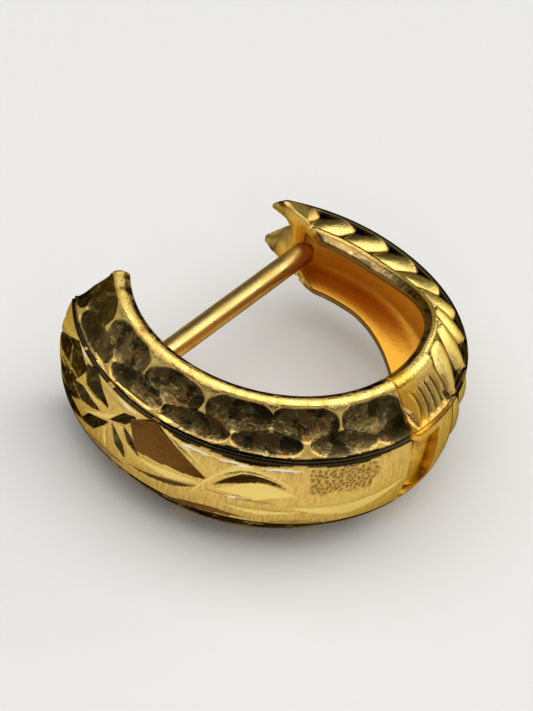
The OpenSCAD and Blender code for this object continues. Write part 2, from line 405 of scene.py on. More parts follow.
def engraved_gold():
    made, tree, shader = new_gold("engraved_gold")
    tone = mesh_number(tree, "tone")
    share = share_of(tone, BRIGHT, BLACK)
    colour = ramp(share, COLOUR_BY_SHARE)
    mottled = ramp(share, MOTTLED_BY_SHARE)
    for scale, start, full, spot_colour in REFLECTION_SPOTS:
        spots = ramp(grain(tree, scale, detail=3.0), [(start, 0.0), (full, 1.0)])
        colour = painted(colour, spots * mottled, spot_colour)
    rubbed = streaks(tree)
    streak_wear_and_shade = ramp(rubbed, WEAR_AND_SHADE_BY_STREAK) * ramp(share, STREAKED_BY_SHARE)
    # Streaks of wear that are partly painted shade.
    colour = painted(colour, streak_wear_and_shade, STREAK_WEAR_AND_SHADE_GOLD)
    # Painted glints on polished edges.
    colour = painted(colour, share_of(tone, BRIGHT, GLINT), PALE_GLINT)
    # Painted amber reflection of gold facing gold: in the channel, on the hinge's cut faces and beside the
    # joint.
    colour = painted(colour, mesh_number(tree, "inside"), AMBER_REFLECTION_GOLD)
    colour.into(shader.inputs["Base Color"])
    ramp(share, ROUGHNESS_BY_SHARE).into(shader.inputs["Roughness"])
    height = rubbed + grain(tree, FINE_GRAIN, detail=5.0, roughness=0.7)
    bumped(height, strength=0.45, distance=0.00004).into(shader.inputs["Normal"])
    return made


ENGRAVED_GOLD_AND_PAINTED_LIGHT = engraved_gold()
print("engraved gold:", len(ENGRAVED_GOLD_AND_PAINTED_LIGHT.node_tree.nodes), "nodes")

# %% [markdown]
# The blank. Before any cut is made each half is a smooth channel, and its shape follows one rule: a
# section that is swept around the hoop. The section is written once, as a list of places with a
# radius, a height, and what a cutter needs to know there. The sweep repeats it at many angles. A
# curve with a profile could do the same, but the back half narrows as it goes and its catch leans,
# so plain numbers are clearer here.

# %% Widths around the hoop
def rise(share):
    share = min(1.0, max(0.0, share))
    return share * share * (3 - 2 * share)


def between(start, end, share):
    return start + (end - start) * share


def widths(angle):
    """Half the band's width and half the strip's, at an angle."""
    done = rise((TAPER_FROM - angle) / (TAPER_FROM - TAPER_TO))
    return between(HALF_W, BACK_HALF_W, done), between(STRIP_HALF, BACK_STRIP_HALF, done)


print("band width at the catch:", round(2 * widths(CATCH_AT)[0], 2), "mm")

# %% [markdown]
# The outside of the section. From the inner edge of the rim it goes over a rounded shoulder, down
# the bevel, through the black line and over the domed strip, and then back the same way below. Each
# place also has a place across the band as if the band were laid flat, in the front half's sizes, so
# that the cuts narrow with the band. Room is how much of a cut's depth is let in there: it fades to
# nothing at each edge, which keeps the edges clean.

# %% Rim, shoulder and bevel
# Columns of a section: radius, height, place across the band, room for a cut, the cut's direction
# as radius and height, the tone of the uncut metal, and whether the place is inside the channel,
# which gives it a painted amber reflection of gold facing gold.
BEVEL_ACROSS = STRIP_HALF + 0.15
ON_BEVEL = STRIP_HALF + 0.12
ON_RIM = BEVEL_TOP + BEVEL_LENGTH
NOWHERE = 9.0
RIM_STEPS = 6
RIM_DROP = 0.14
# The rim's inner side is painted dark as shade. Its outer edge, the rounded shoulder and the top of the
# bevel are painted bright as a highlight, and the bevel is painted dark again next to the black line, as
# shade.
RIM_SHADE = 0.72
RIM_SHADE_TO, RIM_BRIGHT_OVER = 0.5, 0.4
SHOULDER_STEPS = 6
SHOULDER_R = 0.36
BEVEL_STEPS = 40
BEVEL_FADE = 0.03
SHOULDER_BRIGHT_OVER = 0.12
LINE_DARK_FROM, LINE_DARK_OVER = 0.955, 0.04


def rim_and_bevel(half_w, strip_half, ground, line_tone):
    """From the rim's inner edge over a rounded shoulder and down the bevel."""
    top = strip_half + BEVEL_TOP - STRIP_HALF
    slope = Vector((R_BEVEL - R_RIM, top - half_w))
    out = Vector((-slope.y, slope.x)).normalized()
    steep = math.atan2(-slope.y, slope.x)
    tangent = SHOULDER_R * math.tan(steep / 2)
    flat_end = R_RIM - tangent
    shoulder_across = BEVEL_ACROSS + BEVEL_LENGTH
    rows = []
    for step in range(RIM_STEPS):
        share = step / RIM_STEPS
        drop = RIM_DROP * (1 - share) ** 2
        tone = between(RIM_SHADE, BRIGHT, rise((share - RIM_SHADE_TO) / RIM_BRIGHT_OVER))
        across = shoulder_across + SHOULDER_R * steep
        rows.append([between(R_IN, flat_end, share), half_w - drop, across, 0, 0, 1, tone, 0])
    for step in range(SHOULDER_STEPS):
        share = step / SHOULDER_STEPS
        turned = steep * share
        place = [flat_end + SHOULDER_R * math.sin(turned), half_w - SHOULDER_R * (1 - math.cos(turned))]
        across = shoulder_across + SHOULDER_R * steep * (1 - share)
        rows.append([*place, across, share, math.sin(turned), math.cos(turned), BRIGHT, 0])
    start = tangent / slope.length
    for step in range(BEVEL_STEPS + 1):
        share = between(start, 1, step / BEVEL_STEPS)
        room = min(1.0, (1 - share) / BEVEL_FADE)
        across = BEVEL_ACROSS + (1 - share) * BEVEL_LENGTH
        tone = between(BRIGHT, ground, rise((share - start) / SHOULDER_BRIGHT_OVER))
        tone = between(tone, line_tone, rise((share - LINE_DARK_FROM) / LINE_DARK_OVER))
        place = [R_RIM + slope.x * share, half_w + slope.y * share]
        rows.append([*place, across, room, out.x, out.y, tone, 0])
    return rows


# %% Black line and strip
STRIP_STEPS = 60
STRIP_REACH = 0.965
EDGE_FADE = 0.07


def black_line(strip_half, line_tone):
    outer = strip_half + BEVEL_TOP - STRIP_HALF
    groove = [
        # radius, height, place across
        [R_BEVEL - 0.09, outer - 0.02, STRIP_HALF + 0.1],
        [R_LINE + 0.01, outer - 0.055, STRIP_HALF + 0.08],
        [R_LINE, strip_half, STRIP_HALF + 0.05],
        [R_LINE + 0.05, strip_half - 0.02, STRIP_HALF + 0.02],
    ]
    return [[*place, 0, 1, 0, line_tone, 0] for place in groove]


def outside(half_w, strip_half, ground, strip_ground, line_tone):
    upper = rim_and_bevel(half_w, strip_half, ground, line_tone) + black_line(strip_half, line_tone)
    middle = []
    for step in range(STRIP_STEPS + 1):
        share = STRIP_REACH * (1 - 2 * step / STRIP_STEPS)
        room = min(1.0, (STRIP_REACH - abs(share)) * STRIP_HALF / EDGE_FADE)
        radius = R_EDGE + DOME * (1 - share * share)
        # Next to the black line the strip is painted darker, as shade beside the groove.
        tone = between(line_tone, strip_ground, rise(room))
        middle.append([radius, share * strip_half, share * STRIP_HALF, room, 1, 0, tone, 0])
    mirror = np.array([1, -1, -1, 1, 1, -1, 1, 1])
    lower = [list(row * mirror) for row in np.array(upper)]
    return upper + middle + lower[::-1]


# %% [markdown]
# The inside of the section is the channel: a short lip at each rim, a slanted side and a flat floor.
# Nothing is cut there, so its places lie nowhere across the band. The tone of the uncut metal
# changes around the hoop: the back half's leaves stand on ground painted dark, as the shade of metal
# that faces the dim room.

# %% Channel and whole section
LIP = 0.36
LIP_LEDGE = 0.06
SIDE_WALL = 0.28
# The lip is painted dark as shade, the front bevel's land paler as a highlight, the black line's groove
# black as shade, and that line brown as shade beside the hinge.
LIP_TONE, CHANNEL_TONE = 0.6, -0.3
LAND_TONE, STRIP_TONE, GROOVE_TONE = -0.6, -0.15, BLACK
HINGE_BEVEL_TONE, HINGE_LINE_TONE = 0.05, BROWN
BACK_TONE = 0.98
LEAVES_FROM, LEAVES_OVER = 18.0, 4.0
CATCH_GOLD_FROM, CATCH_GOLD_OVER = -84.0, 7.0


def channel(half_w, strip_half, deep):
    edge = half_w - RIM_DROP
    lip = half_w - LIP
    floor_half = min(strip_half - SIDE_WALL, lip - LIP_LEDGE)
    side = [
        # radius, height
        [R_IN, between(edge, lip, 0.5)],
        [R_IN + 0.01, between(edge, lip, 0.9)],
        [R_IN + 0.04, lip],
        [between(R_IN, deep, 0.35), between(lip, floor_half, 0.35)],
        [between(R_IN, deep, 0.7), between(lip, floor_half, 0.7)],
        [between(R_IN, deep, 0.96), between(lip, floor_half, 0.92)],
        [deep, floor_half * 0.9],
        [deep, floor_half * 0.45],
    ]
    rows = []
    for k, (r, z) in enumerate(side):
        on_lip = k < 2
        rows.append([r, -z, -NOWHERE, 0, 1, 0, LIP_TONE if on_lip else CHANNEL_TONE, 0 if on_lip else 1])
    mirror = np.array([1, -1, -1, 1, 1, 1, 1, 1])
    middle = [deep, 0.0, NOWHERE, 0, 1, 0, CHANNEL_TONE, 1]
    return rows + [middle] + [list(row * mirror) for row in np.array(rows)[::-1]]


def section(angle, high, deep):
    """The whole section at an angle; high caps its outside, and deep is the channel's floor."""
    half_w, strip_half = widths(angle)
    leafy = rise((LEAVES_FROM - angle) / LEAVES_OVER)
    leafy *= rise((angle - CATCH_GOLD_FROM) / CATCH_GOLD_OVER)
    on_front = angle >= CUT_AT
    ground = LAND_TONE if on_front else between(HINGE_BEVEL_TONE, BACK_TONE, leafy)
    line_tone = GROOVE_TONE if on_front else between(HINGE_LINE_TONE, GROOVE_TONE, leafy)
    strip_ground = between(STRIP_TONE, BACK_TONE, leafy)
    rows = outside(half_w, strip_half, ground, strip_ground, line_tone) + channel(half_w, strip_half, deep)
    rows = np.array(rows)
    rows[:, 0] = np.minimum(rows[:, 0], high)
    return rows


print("points in a section:", len(section(90, R_OUT, R_FLOOR)))

# %% [markdown]
# Sweeping the section. Every ring of points becomes four-sided faces with the next ring, and the two
# ends are closed with one flat face each. The numbers that the cutter needs go along as attributes,
# which Geometry Nodes and the shader can both read.

# %% Sweep rings into a closed mesh
COLUMNS = {"across": 2, "room": 3, "tone": 6, "inside": 7}


def write_field(mesh, label, values):
    kind, field = ("FLOAT_VECTOR", "vector") if values.ndim == 2 else ("FLOAT", "value")
    attribute = mesh.attributes.new(label, kind, "POINT")
    attribute.data.foreach_set(field, values.astype(np.float32).ravel())


def swept_mesh(name, rings):
    """rings is a list of (angles, rows): an angle for each point, and the section's rows."""
    loop = len(rings[0][1])
    angle = np.concatenate([a for a, rows in rings])
    rows = np.concatenate([rows for a, rows in rings])
    turned = np.radians(angle)
    points = np.stack([
        rows[:, 0] * np.cos(turned), -rows[:, 0] * np.sin(turned), rows[:, 1] + HALF_W,
    ], axis=1) * MM
    out = np.stack([rows[:, 4] * np.cos(turned), -rows[:, 4] * np.sin(turned), rows[:, 5]], axis=1)
    faces = []
    for ring in range(len(rings) - 1):
        for k in range(loop):
            p, q = ring * loop + k, ring * loop + (k + 1) % loop
            faces.append((p, p + loop, q + loop, q))
    faces.append(tuple(range(loop)))
    faces.append(tuple((len(rings) - 1) * loop + k for k in reversed(range(loop))))
    mesh = bpy.data.meshes.new(name)
    mesh.from_pydata(points.tolist(), [], faces)
    write_field(mesh, "around", angle)
    write_field(mesh, "out", out)
    for label, column in COLUMNS.items():
        write_field(mesh, label, rows[:, column])
    shape = bmesh.new()
    shape.from_mesh(mesh)
    caps = [f for f in shape.faces if len(f.verts) > 4]
    bmesh.ops.triangulate(shape, faces=caps)
    bmesh.ops.recalc_face_normals(shape, faces=shape.faces)
    for face in shape.faces:
        face.smooth = True
    shape.to_mesh(mesh)
    shape.free()
    print(name, "blank:", len(mesh.vertices), "points")
    return placed(name, mesh)


# %% [markdown]
# The front half is the same all along, with a wall that closes the channel at the tip and another at
# the hinge. Its tip is rounded off by drawing the last rings in towards the middle of the section.

# %% Front half, blank
FRONT_RINGS = 430
END_WALL_DEG = math.degrees(0.5 / R_RIM)
WALL_RAMP_DEG = 0.5
WALL_TOP = R_IN + 0.05
TIP_STEPS = 12
TIP_ROUND_DEG = 2.0
TIP_ROUND_IN = 0.16
CUT_RINGS_DEG = (0.0, 0.05, 0.15, 0.3)
CUT_GAP_DEG, TIP_GAP_DEG = 0.2, 0.3
EDGE_ROUND_DEG = 0.35
EDGE_ROUND_IN = 0.008


def drawn_in(rows, share):
    rows = rows.copy()
    rows[:, 0] = between(rows[:, 0], R_MID, share)
    rows[:, 1] = rows[:, 1] * (1 - share)
    return rows


def round_share(distance, length, depth):
    """How far an end is drawn in at a distance from it: a quarter circle."""
    left = max(0.0, 1 - distance / length)
    return depth * (1 - math.sqrt(max(0.0, 1 - left * left)))


def front_deep(angle):
    from_cut = (angle - CUT_AT - END_WALL_DEG) / WALL_RAMP_DEG
    from_tip = (TIP_AT - END_WALL_DEG - angle) / WALL_RAMP_DEG
    return between(WALL_TOP, R_FLOOR, rise(min(from_cut, from_tip)))


def front_angles():
    """The rings crowd where the tip rounds off and where the cut's edge does."""
    quarters = [math.sin(math.radians(90 * k / TIP_STEPS)) for k in range(TIP_STEPS + 1)]
    near_tip = [TIP_AT - TIP_ROUND_DEG * (1 - quarter) for quarter in quarters]
    near_cut = [CUT_AT + step for step in CUT_RINGS_DEG]
    inner = np.linspace(near_cut[-1] + CUT_GAP_DEG, near_tip[0] - TIP_GAP_DEG, FRONT_RINGS)
    return [*near_cut, *inner, *near_tip]


def front_blank():
    rings = []
    for angle in front_angles():
        rows = section(angle, R_OUT, front_deep(angle))
        share = round_share(TIP_AT - angle, TIP_ROUND_DEG, TIP_ROUND_IN)
        share += round_share(angle - CUT_AT, EDGE_ROUND_DEG, EDGE_ROUND_IN)
        rings.append((np.full(len(rows), angle), drawn_in(rows, share)))
    return swept_mesh("front_half_gold", rings)


front_gold = front_blank()

# %% [markdown]
# The back half is rounded about the hinge pin where it starts, so that it can turn, and eases from
# the full width to the narrow catch. The catch leans outward and ends in two rounded tips with a
# notch between them for the post.

# %% The catch
CATCH_LEAN = -12.6
LEAN_FROM = -58.0
LEAN_BASE = 6.0
TIP_REACH = 0.66
NOTCH_SPAN = 14.0
NOTCH_TURN = 7.0
NOTCH_SHARE = 0.5
NOTCH_FROM = 6.05
NOTCH_HEIGHT = 0.6
TIP_SHARE = 0.66
TIP_ROUND = 4.0


def leaned(angle, rows):
    """An angle for each point of a ring, so that the ring leans and takes the notch and the tips."""
    lean = rise((LEAN_FROM - angle) / (LEAN_FROM - CATCH_AT))
    last = rise((CATCH_AT + NOTCH_SPAN - angle) / NOTCH_SPAN)
    share = np.minimum(1, np.abs(rows[:, 1]) / widths(angle)[0])
    notch = np.maximum(0, 1 - share / NOTCH_SHARE) * NOTCH_TURN
    notch += np.maximum(0, share - TIP_SHARE) / (1 - TIP_SHARE) * TIP_ROUND
    height = np.clip((rows[:, 0] - NOTCH_FROM) / NOTCH_HEIGHT, 0, 1)
    height = height * height * (3 - 2 * height)
    reach = np.minimum(TIP_REACH, rows[:, 0] - LEAN_BASE)
    return angle + lean * CATCH_LEAN * reach + last * notch * height


# %% Back half, blank
BACK_RINGS = 400
ROUNDED_RINGS = 26
ROUNDED_SHARE = 0.97
ROUNDED_CROWDING = 1.6
EASE_DEG = 4.0
FILL_TO = 20.0
CATCH_LIP = 5.98
CATCH_WALL_DEG = 3.6
CATCH_ROUND_DEG, CATCH_ROUND_IN = 1.5, 0.05
INSIDE = COLUMNS["inside"]
# Beside the hinge the back half takes part of the painted amber reflection of gold facing gold.
HINGE_AMBER_REFLECTION = 0.8
HINGE_AMBER_FROM, HINGE_AMBER_OVER = 24.0, 8.0


def back_high(angle):
    x = math.radians(angle - PIN_AT) * R_PIN
    if x > 0:
        return R_PIN + math.sqrt(max(0.0, ROUND_R * ROUND_R - x * x))
    return between(R_PIN + ROUND_R, R_OUT, rise((PIN_AT - angle) / EASE_DEG))


def back_deep(angle):
    start = between(WALL_TOP, R_FLOOR, rise((FILL_TO - angle) / WALL_RAMP_DEG))
    wall_from = CATCH_AT + CATCH_WALL_DEG + WALL_RAMP_DEG
    return between(start, CATCH_LIP, rise((wall_from - angle) / WALL_RAMP_DEG))


def back_angles():
    start = PIN_AT + math.degrees(ROUNDED_SHARE * ROUND_R / R_PIN)
    rounded = start - (start - PIN_AT) * (np.linspace(0, 1, ROUNDED_RINGS)[:-1] ** ROUNDED_CROWDING)
    return [*rounded, *np.linspace(PIN_AT, CATCH_AT, BACK_RINGS)]


def back_blank():
    rings = []
    for angle in reversed(back_angles()):
        rows = section(angle, back_high(angle), back_deep(angle))
        rows = drawn_in(rows, round_share(angle - CATCH_AT, CATCH_ROUND_DEG, CATCH_ROUND_IN))
        amber_reflection = HINGE_AMBER_REFLECTION * rise((angle - HINGE_AMBER_FROM) / HINGE_AMBER_OVER)
        rows[:, INSIDE] = np.maximum(rows[:, INSIDE], amber_reflection)
        rings.append((leaned(angle, rows), rows))
    return swept_mesh("back_half_gold", rings)


back_gold = back_blank()

# %% [markdown]
# The hinge needs a slot between the back half's two ears for the knuckle, and a hole for the pin. A
# boolean is the plain way to take a straight-sided piece out of a shaped one. The Manifold solver is
# fast and keeps the attributes of the points that stay. The slot is cut with a box, and the hole
# with a round bar that is made as on a lathe: a short outline spun about its axis.

# %% Boxes and turned bars
KNUCKLE_R = 0.6
KNUCKLE_HALF = 1.1
PIN_RADIUS = 0.25
PIN_HALF = 1.65
PIN_TURN = math.radians(PIN_AT)
PIN_PLACE = Vector((R_PIN * math.cos(PIN_TURN), -R_PIN * math.sin(PIN_TURN), HALF_W))
HOOP_AXIS = Vector((0, 0, 1))


def hinge_box(name, low, high, soft=0.0):
    """A box at the pin: x outward along the hoop's radius, y against the angle, z up."""
    mesh = bpy.data.meshes.new(name)
    shape = bmesh.new()
    bmesh.ops.create_cube(shape, size=1)
    cosine, sine = math.cos(-PIN_TURN), math.sin(-PIN_TURN)
    for vert in shape.verts:
        x, y, z = (between(low[i], high[i], vert.co[i] + 0.5) for i in range(3))
        vert.co = (Vector((cosine * x - sine * y, sine * x + cosine * y, z)) + PIN_PLACE) * MM
    if soft > 0:
        edges = shape.edges[:]
        bmesh.ops.bevel(shape, geom=edges, offset=soft * MM, segments=3, affect="EDGES", profile=0.5)
    shape.to_mesh(mesh)
    shape.free()
    return placed(name, mesh)


def lathe(name, outline, start, direction, sides):
    """Spins (distance along, radius) pairs in mm about the axis that runs from start."""
    side_a = direction.orthogonal().normalized()
    side_b = direction.cross(side_a)
    points = []
    for along, radius in outline:
        for k in range(sides):
            turned = 2 * math.pi * k / sides
            spoke = side_a * math.cos(turned) + side_b * math.sin(turned)
            points.append((start + direction * along + spoke * radius) * MM)
    faces = [tuple(reversed(range(sides)))]
    for ring in range(len(outline) - 1):
        for k in range(sides):
            p, q = ring * sides + k, ring * sides + (k + 1) % sides
            faces.append((p, q, q + sides, p + sides))
    faces.append(tuple((len(outline) - 1) * sides + k for k in range(sides)))
    mesh = bpy.data.meshes.new(name)
    mesh.from_pydata(points, [], faces)
    return placed(name, mesh)


# %% Cutting the slot and the pin hole
SLOT_GAP = 0.05
SLOT_HALF = KNUCKLE_HALF + SLOT_GAP
SLOT_REACH = 2.0
HOLE_RADIUS = PIN_RADIUS + 0.02
HOLE_HALF = PIN_HALF + SLOT_GAP
HOLE_SIDES = 64


def baked(piece):
    """Works the modifiers of a piece into its mesh, and takes them off."""
    result = bpy.data.meshes.new_from_object(piece.evaluated_get(bpy.context.evaluated_depsgraph_get()))
    piece.modifiers.clear()
    old = piece.data
    result.name = old.name
    piece.data = result
    bpy.data.meshes.remove(old)


def cut_away(piece, others):
    for other in others:
        cut = piece.modifiers.new(other.name, "BOOLEAN")
        cut.operation = "DIFFERENCE"
        cut.solver = "MANIFOLD"
        cut.object = other
    bpy.context.view_layer.update()
    baked(piece)
    for other in others:
        bpy.data.objects.remove(other)


slot_low = (-SLOT_REACH, -SLOT_REACH, -SLOT_HALF)
slot_high = (SLOT_REACH, KNUCKLE_R + SLOT_GAP, SLOT_HALF)
slot = hinge_box("slot", slot_low, slot_high)
hole_outline = [(-HOLE_HALF, HOLE_RADIUS), (HOLE_HALF, HOLE_RADIUS)]
pin_hole = lathe("pin_hole", hole_outline, PIN_PLACE, HOOP_AXIS, HOLE_SIDES)
# The cut faces take the painted amber reflection of gold facing gold.
for cutter in (slot, pin_hole):
    write_field(cutter.data, "inside", np.ones(len(cutter.data.vertices)))
before = len(back_gold.data.vertices)
cut_away(back_gold, [slot, pin_hole])
print("back half:", before, "points before the slot,", len(back_gold.data.vertices), "after")

# %% [markdown]
# Cutting trees. Each kind of cut is a Geometry Nodes tree with named inputs. A tree reads two numbers
# at each point, the depth of the cut so far and its tone, and writes them back. Nothing moves until
# the last tree, so cuts that cross keep the deepest of them, as they do in metal.

# %% Helpers for Geometry Nodes trees
SOCKETS = {type(None): "NodeSocketGeometry", int: "NodeSocketInt", float: "NodeSocketFloat"}
MESH = {"Geometry": None}


def new_tree(name, inputs, outputs=MESH):
    """A tree, its inputs as fields by name, and the node it ends in; None stands for the mesh."""
    tree = bpy.data.node_groups.new(name, "GeometryNodeTree")
    for side, sockets in (("INPUT", inputs), ("OUTPUT", outputs)):
        for label, default in sockets.items():
            socket = tree.interface.new_socket(name=label, in_out=side, socket_type=SOCKETS[type(default)])
            if default is not None:
                socket.default_value = default
    entry = tree.nodes.new("NodeGroupInput")
    given = {label: Field(tree, entry.outputs[label]) for label in inputs}
    return tree, given, tree.nodes.new("NodeGroupOutput")


def read_field(tree, name, kind="FLOAT"):
    made = tree.nodes.new("GeometryNodeInputNamedAttribute")
    made.data_type = kind
    made.inputs["Name"].default_value = name
    return Field(tree, made.outputs["Attribute"])


def store_field(geometry, name, field):
    made = geometry.tree.nodes.new("GeometryNodeStoreNamedAttribute")
    made.data_type = "FLOAT"
    made.domain = "POINT"
    made.inputs["Name"].default_value = name
    geometry.into(made.inputs["Geometry"])
    field.into(made.inputs["Value"])
    return Field(geometry.tree, made.outputs["Geometry"])


def handed_on(tree, given, leave, tone, cut=None):
    """Ends a cutting tree. The tone is written first, because it may still read the old cut."""
    geometry = store_field(given["Geometry"], "tone", tone)
    if cut is not None:
        geometry = store_field(geometry, "cut", cut)
    geometry.into(leave.inputs["Geometry"])
    print(tree.name, "tree:", len(tree.nodes), "nodes")
    return tree


def patches(tree, scale, detail):
    """Soft noise by the place of each point."""
    return Field(tree, node(tree, "ShaderNodeTexNoise", Scale=scale, Detail=detail).outputs["Fac"])


def up_the_bevel(tree):
    """How far up the bevel a point is, whether it is on a bevel, and whether it is outside."""
    reach = read_field(tree, "across").math("ABSOLUTE")
    share = 1 - (reach - BEVEL_ACROSS) / BEVEL_LENGTH
    return share, reach.math("GREATER_THAN", ON_BEVEL), reach.math("LESS_THAN", NOWHERE / 2)


# %% [markdown]
# The graver. A graver pushed through gold and rolled a little leaves a cut like a willow leaf, with
# one wide slope and one steep side. All the cuts on the strip differ only in where they start and
# end, how wide they are, how far they bow, and which way they lean, so one node group is the tool
# and each stroke is one use of it with its own numbers.

# %% One stroke of the graver, as a node group
STROKE_INPUTS = {
    "From Around": 0.0, "From Across": 0.0, "To Around": 0.0, "To Across": 0.0,
    "Half Width": 0.2, "Widest": 0.5, "Bow": 0.0, "Lean": 0.0, "Depth": 0.1, "Tone": 0.0,
    "Cut So Far": 0.0, "Tone So Far": 0.0,
}
FULLNESS = 0.86
TINY = 0.0001


def stroke_group():
    tree, given, leave = new_tree("graver_stroke", STROKE_INPUTS, {"Cut": 0.0, "Tone": 0.0})
    x = (read_field(tree, "around") - given["From Around"]) * MM_PER_DEG
    y = read_field(tree, "across") - given["From Across"]
    dx = (given["To Around"] - given["From Around"]) * MM_PER_DEG
    dy = given["To Across"] - given["From Across"]
    length = (dx * dx + dy * dy).math("SQRT")
    along = ((x * dx + y * dy) / (length * length)).clamped()
    bowed = given["Bow"] * 4 * along * (1 - along)
    off = (x * dy - y * dx) / length - bowed
    ends = (along / given["Widest"]).less_of((1 - along) / (1 - given["Widest"]))
    half = given["Half Width"] * ends.more_of(TINY).math("POWER", FULLNESS)
    side = off / half
    slope = ((side + 1) / (given["Lean"] + 1)).less_of((1 - side) / (1 - given["Lean"])).more_of(0.0)
    depth = given["Depth"] * slope * (half / given["Half Width"]).math("SQRT")
    deeper = depth.math("GREATER_THAN", given["Cut So Far"])
    given["Cut So Far"].more_of(depth).into(leave.inputs["Cut"])
    given["Tone So Far"].towards(given["Tone"], deeper).into(leave.inputs["Tone"])
    return tree


GRAVER_STROKE = stroke_group()
print("graver:", len(GRAVER_STROKE.nodes), "nodes")

# %% [markdown]
# The strokes. Each row is one cut: the angle and the place across the band where it starts and ends,
# half its width, where along it is widest, how far it bows up, how far the deepest line leans to the
# upper side, the depth, and the tone. The dark facets come first, painted dark as the reflection of
# the dim room, then the bright flats between them, painted paler as highlights, then the black line
# above, painted black as the shade in its groove, and last the painted glints, most of them along
# that line's edges.

# %% Strokes on the front strip
FRONT_STROKES = [
    # around, across, around, across, half, widest, bow, lean, depth, tone
    (172.0, -0.20, 143.8, 1.00, 0.76, 0.74, -0.06, 0.4, 0.20, 0.975),
    (169.0, -0.42, 145.5, 0.36, 0.09, 0.60, 0.0, 0.0, 0.25, BRIGHT),
    (161.0, 0.92, 150.5, -0.20, 0.08, 0.50, 0.0, 0.0, 0.25, BRIGHT),
    (168.0, -0.80, 143.6, -0.28, 0.42, 0.70, 0.0, 0.4, 0.20, 0.98),
    (166.0, -1.35, 140.5, -0.95, 0.36, 0.60, 0.0, 0.3, 0.16, 0.985),
    (145.2, 1.14, 131.0, 0.66, 0.44, 0.28, 0.0, 0.5, 0.18, 0.98),
    (149.5, -0.02, 132.8, 0.24, 0.30, 0.38, 0.0, 0.5, 0.17, 0.98),
    (142.5, -1.08, 129.6, 0.16, 0.28, 0.45, 0.0, 0.5, 0.18, 0.985),
    (129.8, 0.30, 121.2, 1.12, 0.21, 0.60, 0.0, 0.4, 0.15, 0.99),
    (128.6, 0.28, 122.0, -0.80, 0.22, 0.60, 0.0, 0.3, 0.15, 0.98),
    (124.8, 0.52, 117.4, -0.28, 0.17, 0.50, 0.0, 0.3, 0.13, 0.97),
    (122.8, 0.88, 97.0, 0.15, 0.80, 0.22, 0.0, 0.6, 0.24, BROWN),
    (121.5, -0.96, 99.4, -0.30, 0.14, 0.65, -0.10, 0.3, 0.13, 0.6),
    (139.0, -1.32, 122.0, -1.14, 0.16, 0.50, 0.0, 0.4, 0.12, 0.7),
    (106.0, -1.38, 84.0, -1.28, 0.15, 0.50, 0.10, 0.4, 0.10, BROWN),
    (80.0, -1.36, 60.0, -1.42, 0.10, 0.50, 0.10, 0.3, 0.08, 0.25),
    (95.4, 0.00, 75.0, 0.36, 0.20, 0.40, 0.46, 0.3, 0.18, BROWN),
    (97.0, -0.28, 74.0, -0.36, 0.05, 0.50, 0.0, 0.3, 0.05, 0.4),
    (175.0, 0.40, 152.0, 1.36, 0.20, 0.40, 0.0, -0.3, 0.04, -0.8),
    (147.0, 0.38, 131.2, 0.54, 0.10, 0.50, 0.0, 0.0, 0.04, BRIGHT),
    (142.2, -0.55, 121.9, 1.12, 0.14, 0.50, 0.0, 0.0, 0.05, BRIGHT),
    (130.6, 0.0, 129.6, -1.15, 0.12, 0.50, 0.0, 0.0, 0.05, -0.9),
    (141.0, 1.30, 123.0, 1.12, 0.20, 0.45, 0.0, 0.0, 0.05, -0.7),
    (118.0, 1.48, 97.5, 0.50, 0.14, 0.50, 0.12, 0.0, 0.05, BRIGHT),
    (118.0, -0.32, 98.5, -0.08, 0.26, 0.50, 0.0, 0.0, 0.05, BRIGHT),
    (101.5, -0.85, 70.5, 0.10, 0.19, 0.50, 1.30, 0.0, 0.06, BRIGHT),
    (94.2, -0.10, 72.4, 0.10, 0.40, 0.52, 0.18, 0.0, 0.04, BRIGHT),
    (92.0, -0.72, 70.0, -0.70, 0.20, 0.50, -0.05, 0.0, 0.04, -0.8),
    (73.0, -0.46, 38.0, -0.10, 0.50, 0.50, -0.26, 0.0, 0.05, BRIGHT),
    (118.0, 1.47, 92.0, 1.47, 0.28, 0.35, 0.0, 0.2, 0.12, BLACK),
    (109.0, 1.47, 64.0, 1.47, 0.31, 0.50, 0.0, 0.2, 0.13, BLACK),
    (86.0, 1.47, 38.0, 1.47, 0.28, 0.60, 0.0, 0.2, 0.12, BLACK),
    (156.5, 1.32, 141.5, 1.32, 0.085, 0.50, 0.0, 0.2, 0.02, GLINT),
    (134.0, 1.24, 120.5, 1.24, 0.10, 0.50, 0.0, 0.2, 0.02, GLINT),
    (110.5, 1.12, 94.5, 1.12, 0.10, 0.40, 0.0, 0.2, 0.03, GLINT),
    (97.0, 1.10, 84.5, 1.10, 0.08, 0.50, 0.0, 0.2, 0.03, GLINT),
    (84.0, 1.11, 70.5, 1.11, 0.09, 0.50, 0.0, 0.2, 0.03, GLINT),
    (92.5, -0.30, 84.0, -0.26, 0.09, 0.50, 0.0, 0.2, 0.05, GLINT),
    (147.0, 1.71, 136.5, 1.69, 0.12, 0.50, 0.0, 0.3, 0.13, -0.9),
    (134.0, 1.68, 117.5, 1.71, 0.11, 0.50, 0.0, 0.3, 0.13, BRIGHT),
    (116.0, 1.75, 107.5, 1.70, 0.12, 0.40, 0.0, 0.3, 0.13, -0.9),
]


def stroke_tree(name, strokes):
    """A tree that makes every stroke of a table and keeps the deepest cut at each point."""
    tree, given, leave = new_tree(name, MESH | {"Depth": 1.0})
    cut, tone = read_field(tree, "cut"), read_field(tree, "tone")
    for stroke in strokes:
        use = tree.nodes.new("GeometryNodeGroup")
        use.node_tree = GRAVER_STROKE
        for label, value in zip(STROKE_INPUTS, stroke):
            use.inputs[label].default_value = value
        cut.into(use.inputs["Cut So Far"])
        tone.into(use.inputs["Tone So Far"])
        cut, tone = Field(tree, use.outputs["Cut"]), Field(tree, use.outputs["Tone"])
    return handed_on(tree, given, leave, tone, cut * given["Depth"])


